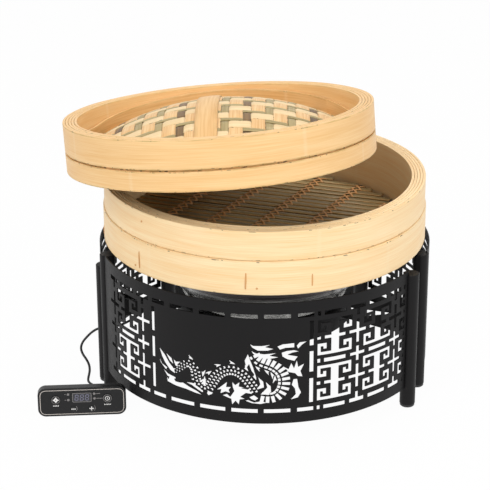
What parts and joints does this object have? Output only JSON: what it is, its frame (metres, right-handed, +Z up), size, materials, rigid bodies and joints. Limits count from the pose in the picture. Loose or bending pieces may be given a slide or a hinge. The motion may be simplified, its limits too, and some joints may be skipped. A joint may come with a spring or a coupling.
{
  "type": "table dumpling steamer",
  "caption": "Bamboo steaming basket with ajar lid on a round perforated black steel stand, with pan, heater and wired control.",
  "frame": {"origin": "the stand's axis at the table", "axes": "+Z up along the stand's axis; -Y is the front with the figured screen; +X is to its right"},
  "size_m": [0.4804, 0.4243, 0.3872],
  "materials": {
    "black_steel": "satin black powder coat",
    "element_steel": "drawn tube",
    "white_ceramic": "glazed",
    "aluminium": "turned",
    "mineral_board": "pressed fibre",
    "zinc_steel": "zinc plated",
    "circuit_board": "lacquered",
    "black_plastic": "fine matt",
    "brass": "plated",
    "black_rubber": "matt",
    "pale_trim": "printed pale",
    "smoked_window": "polished",
    "dark_display": "matt",
    "stainless_steel": "polished inside and out",
    "pale_bamboo": "planed bamboo strip",
    "dark_bamboo": "split bamboo, smoked",
    "woven_bamboo": "woven split bamboo",
    "cane": "split cane",
    "key_grey": "matt"
  },
  "bodies": {
    "stand": {"front_screen": "black_steel", "back_screen": "black_steel", "post_front_left": "black_steel", "post_front_right": "black_steel", "post_back_right": "black_steel", "post_back_left": "black_steel", "rear_posts": "black_steel", "foot_plugs": "black_plastic", "post_caps": "black_steel", "support_arms": "black_steel", "heater_housing": "black_steel", "hot_plate": "aluminium", "heating_element": "element_steel", "insulation_disc": "mineral_board", "screw_spacers": "zinc_steel", "base_cover": "black_steel", "heater_screws": "zinc_steel", "temperature_sensor": "aluminium", "relay_board": "circuit_board", "terminal_block": "white_ceramic", "mains_inlet": "black_plastic", "inlet_pins": "brass", "lead_gland": "black_rubber", "lead_grommet": "black_rubber", "control_lead": "black_rubber", "control_front_shell": "black_plastic", "control_back_shell": "black_plastic", "control_trim": "pale_trim", "display_window": "smoked_window", "display_module": "dark_display", "indicator_lamps": "pale_trim", "control_board": "circuit_board", "key_switches": "dark_display", "control_screws": "zinc_steel", "control_gland": "black_rubber"},
    "pan": {"water_pan": "stainless_steel"},
    "basket": {"basket_inner_hoop": "pale_bamboo", "basket_middle_hoops": "pale_bamboo", "basket_lower_bands": "pale_bamboo", "basket_upper_bands": "pale_bamboo", "basket_pegs": "cane", "basket_stitches": "cane", "floor_hoop": "pale_bamboo", "floor_battens": "dark_bamboo", "floor_slats": "dark_bamboo", "floor_lacing": "cane"},
    "lid": {"lid_inner_hoop": "pale_bamboo", "lid_middle_hoops": "pale_bamboo", "lid_lower_bands": "pale_bamboo", "lid_upper_bands": "pale_bamboo", "woven_panel": "woven_bamboo", "lid_lining": "woven_bamboo", "retaining_hoop": "pale_bamboo", "support_hoop": "pale_bamboo", "centre_slat": "pale_bamboo", "lid_stitches": "cane"},
    "mode_key_body": {"mode_key": "key_grey"},
    "power_key_body": {"power_key": "key_grey"},
    "minus_key_body": {"minus_key": "key_grey"},
    "plus_key_body": {"plus_key": "key_grey"}
  },
  "joints": [
    {"name": "pan_lift", "type": "slide", "parent": "stand", "child": "pan", "axis": [0, 0, 1], "range_m": [0, 0.12]},
    {"name": "basket_lift", "type": "slide", "parent": "pan", "child": "basket", "axis": [0, 0, 1], "range_m": [0, 0.15]},
    {"name": "lid_lift", "type": "slide", "parent": "basket", "child": "lid", "axis": [0, 0, 1], "range_m": [0, 0.15]},
    {"name": "mode_key_press", "type": "slide", "parent": "stand", "child": "mode_key_body", "axis": [-0.0785, 0.9969, 0], "range_m": [0, 0.0006], "stiffness_N_per_m": 600, "springref_m": -0.0005},
    {"name": "power_key_press", "type": "slide", "parent": "stand", "child": "power_key_body", "axis": [-0.0785, 0.9969, 0], "range_m": [0, 0.0006], "stiffness_N_per_m": 600, "springref_m": -0.0005},
    {"name": "minus_key_press", "type": "slide", "parent": "stand", "child": "minus_key_body", "axis": [-0.0785, 0.9969, 0], "range_m": [0, 0.0006], "stiffness_N_per_m": 600, "springref_m": -0.0005},
    {"name": "plus_key_press", "type": "slide", "parent": "stand", "child": "plus_key_body", "axis": [-0.0785, 0.9969, 0], "range_m": [0, 0.0006], "stiffness_N_per_m": 600, "springref_m": -0.0005}
  ]
}
